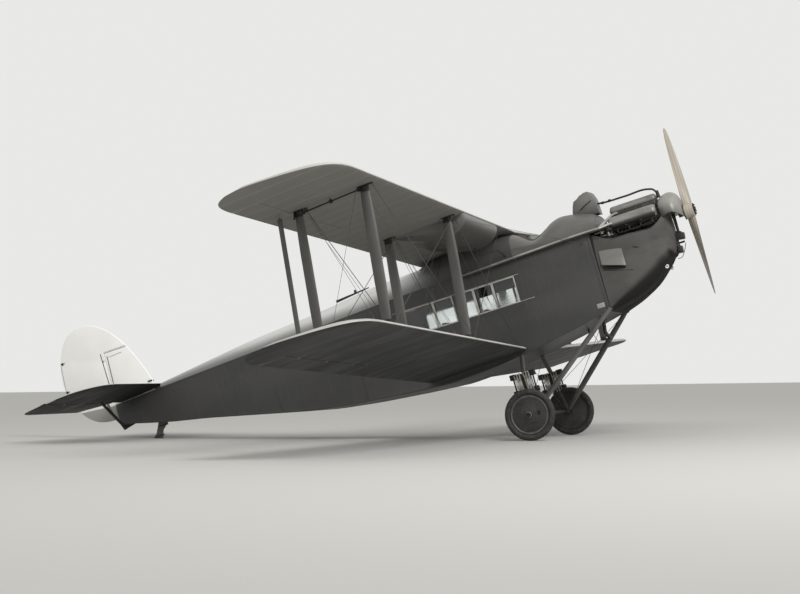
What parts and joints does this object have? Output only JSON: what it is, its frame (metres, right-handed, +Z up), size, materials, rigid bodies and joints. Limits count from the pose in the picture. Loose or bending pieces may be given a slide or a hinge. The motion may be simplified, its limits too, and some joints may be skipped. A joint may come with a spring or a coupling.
{
  "type": "passenger biplane",
  "caption": "Passenger biplane of the 1920s on wheels and a tail skid, with a nose engine, cabin, open cockpit and moving control surfaces",
  "frame": {"origin": "Centre of the bounding box in plan, on the ground under the wheels and tail skid", "axes": "+X to the nose, +Y to the port side (span), +Z up; parked attitude, nose up 15.4 degrees"},
  "size_m": [12.0004, 15.6188, 4.9788],
  "materials": {
    "body_paint": "satin dark grey paint",
    "cowl_paint": "satin grey paint",
    "silver_dope": "silver dope on fabric",
    "wing_dope": "doped fabric",
    "tail_dope": "dark doped fabric",
    "white_dope": "white doped fabric",
    "strut_paint": "satin grey paint",
    "tank_paint": "satin dark grey paint",
    "stay_steel": "streamlined wire",
    "dark_steel": "black enamel",
    "exhaust_steel": "heat-stained steel",
    "engine_metal": "oiled engine metal",
    "propeller_wood": "varnished laminated wood",
    "cockpit_wood": "varnished plywood",
    "seat_wicker": "woven cane",
    "window_glass": "clear",
    "wheel_paint": "doped fabric disc",
    "tyre_rubber": "worn rubber"
  },
  "bodies": {
    "airframe": {"fuselage_side_starboard": "body_paint", "fuselage_side_port": "body_paint", "fuselage_floor": "body_paint", "engine_bulkhead": "body_paint", "cabin_bulkhead": "cockpit_wood", "cockpit_floor": "cockpit_wood", "cockpit_seat": "seat_wicker", "cabin_seats": "seat_wicker", "window_glass_port": "window_glass", "window_glass_starboard": "window_glass", "cockpit_coaming": "cowl_paint", "turtledeck": "silver_dope", "upper_wing_port": "wing_dope", "upper_wing_starboard": "wing_dope", "lower_wing_port": "wing_dope", "lower_wing_starboard": "wing_dope", "strut_inner_front_port": "strut_paint", "strut_inner_front_starboard": "strut_paint", "strut_inner_rear_port": "strut_paint", "strut_inner_rear_starboard": "strut_paint", "strut_outer_front_port": "strut_paint", "strut_outer_front_starboard": "strut_paint", "strut_outer_rear_port": "strut_paint", "strut_outer_rear_starboard": "strut_paint", "wing_root_fairing": "body_paint", "fuel_tank_port": "tank_paint", "fuel_tank_starboard": "tank_paint", "front_stays_port": "stay_steel", "front_stays_starboard": "stay_steel", "rear_stays_port": "stay_steel", "rear_stays_starboard": "stay_steel", "nose_cowl": "cowl_paint", "gear_cowl": "cowl_paint", "engine": "engine_metal", "header_tank": "body_paint", "coolant_pipe": "dark_steel", "exhaust_pipe_port": "exhaust_steel", "exhaust_pipe_starboard": "exhaust_steel", "tailplane": "tail_dope", "rear_fuselage": "body_paint", "fin": "white_dope", "tailplane_struts": "strut_paint", "tail_skid": "dark_steel", "undercarriage_frame_port": "strut_paint", "undercarriage_frame_starboard": "strut_paint", "axle": "dark_steel"},
    "propeller": {"propeller": "propeller_wood"},
    "wheel_port": {"wheel_port": "wheel_paint", "tyre_port": "tyre_rubber"},
    "wheel_starboard": {"wheel_starboard": "wheel_paint", "tyre_starboard": "tyre_rubber"},
    "rudder": {"rudder": "white_dope"},
    "elevator": {"elevator": "tail_dope"},
    "cabin_door": {"cabin_door": "body_paint"},
    "upper_aileron_port": {"upper_aileron_port": "wing_dope"},
    "upper_aileron_starboard": {"upper_aileron_starboard": "wing_dope"},
    "lower_aileron_port": {"lower_aileron_port": "wing_dope"},
    "lower_aileron_starboard": {"lower_aileron_starboard": "wing_dope"},
    "aileron_link_port": {"aileron_link_port": "strut_paint"},
    "aileron_link_starboard": {"aileron_link_starboard": "strut_paint"}
  },
  "joints": [
    {"name": "propeller_spin", "type": "hinge", "parent": "airframe", "child": "propeller", "pos_m": [5.62165, 0, 3.62807], "axis": [0.964, 0, 0.2659], "continuous": true},
    {"name": "wheel_port_spin", "type": "hinge", "parent": "airframe", "child": "wheel_port", "pos_m": [3.27434, 1.283, 0.40803], "axis": [0, 1, 0], "continuous": true},
    {"name": "wheel_starboard_spin", "type": "hinge", "parent": "airframe", "child": "wheel_starboard", "pos_m": [3.27434, -1.283, 0.40803], "axis": [0, 1, 0], "continuous": true},
    {"name": "rudder_turn", "type": "hinge", "parent": "airframe", "child": "rudder", "pos_m": [-4.96884, 0, 0.96632], "axis": [-0.2659, 0, 0.964], "range_deg": [-25, 25]},
    {"name": "elevator_tilt", "type": "hinge", "parent": "airframe", "child": "elevator", "pos_m": [-4.77456, 0, 0.66787], "axis": [0, 1, 0], "range_deg": [-25, 25]},
    {"name": "upper_aileron_port_tilt", "type": "hinge", "parent": "airframe", "child": "upper_aileron_port", "pos_m": [1.36982, 5.7713, 3.24181], "axis": [-0.0115, 0.9991, 0.0415], "range_deg": [-20, 20]},
    {"name": "upper_aileron_starboard_tilt", "type": "hinge", "parent": "airframe", "child": "upper_aileron_starboard", "pos_m": [1.36982, -5.7713, 3.24181], "axis": [0.0115, 0.9991, -0.0415], "range_deg": [-20, 20]},
    {"name": "lower_aileron_port_tilt", "type": "hinge", "parent": "airframe", "child": "lower_aileron_port", "pos_m": [1.71396, 5.7713, 1.26827], "axis": [-0.0115, 0.9991, 0.0415], "range_deg": [-20, 20]},
    {"name": "lower_aileron_starboard_tilt", "type": "hinge", "parent": "airframe", "child": "lower_aileron_starboard", "pos_m": [1.71396, -5.7713, 1.26827], "axis": [0.0115, 0.9991, -0.0415], "range_deg": [-20, 20]},
    {"name": "aileron_link_port_swing", "type": "hinge", "parent": "upper_aileron_port", "child": "aileron_link_port", "pos_m": [1.23343, 6.19138, 3.16368], "axis": [-0.0115, 0.9991, 0.0415], "range_deg": [-20, 20]},
    {"name": "aileron_link_starboard_swing", "type": "hinge", "parent": "upper_aileron_starboard", "child": "aileron_link_starboard", "pos_m": [1.23343, -6.19138, 3.16368], "axis": [0.0115, 0.9991, -0.0415], "range_deg": [-20, 20]},
    {"name": "cabin_door_swing", "type": "hinge", "parent": "airframe", "child": "cabin_door", "pos_m": [0.88268, 0.654, 1.59482], "axis": [0.2659, 0, -0.964], "range_deg": [0, 100]}
  ],
  "couplings": [
    {"joint": "lower_aileron_starboard_tilt", "follows": "upper_aileron_starboard_tilt", "ratio": 1},
    {"joint": "upper_aileron_port_tilt", "follows": "upper_aileron_starboard_tilt", "ratio": -1},
    {"joint": "lower_aileron_port_tilt", "follows": "upper_aileron_starboard_tilt", "ratio": -1},
    {"joint": "aileron_link_starboard_swing", "follows": "upper_aileron_starboard_tilt", "ratio": -1},
    {"joint": "aileron_link_port_swing", "follows": "upper_aileron_starboard_tilt", "ratio": 1}
  ]
}
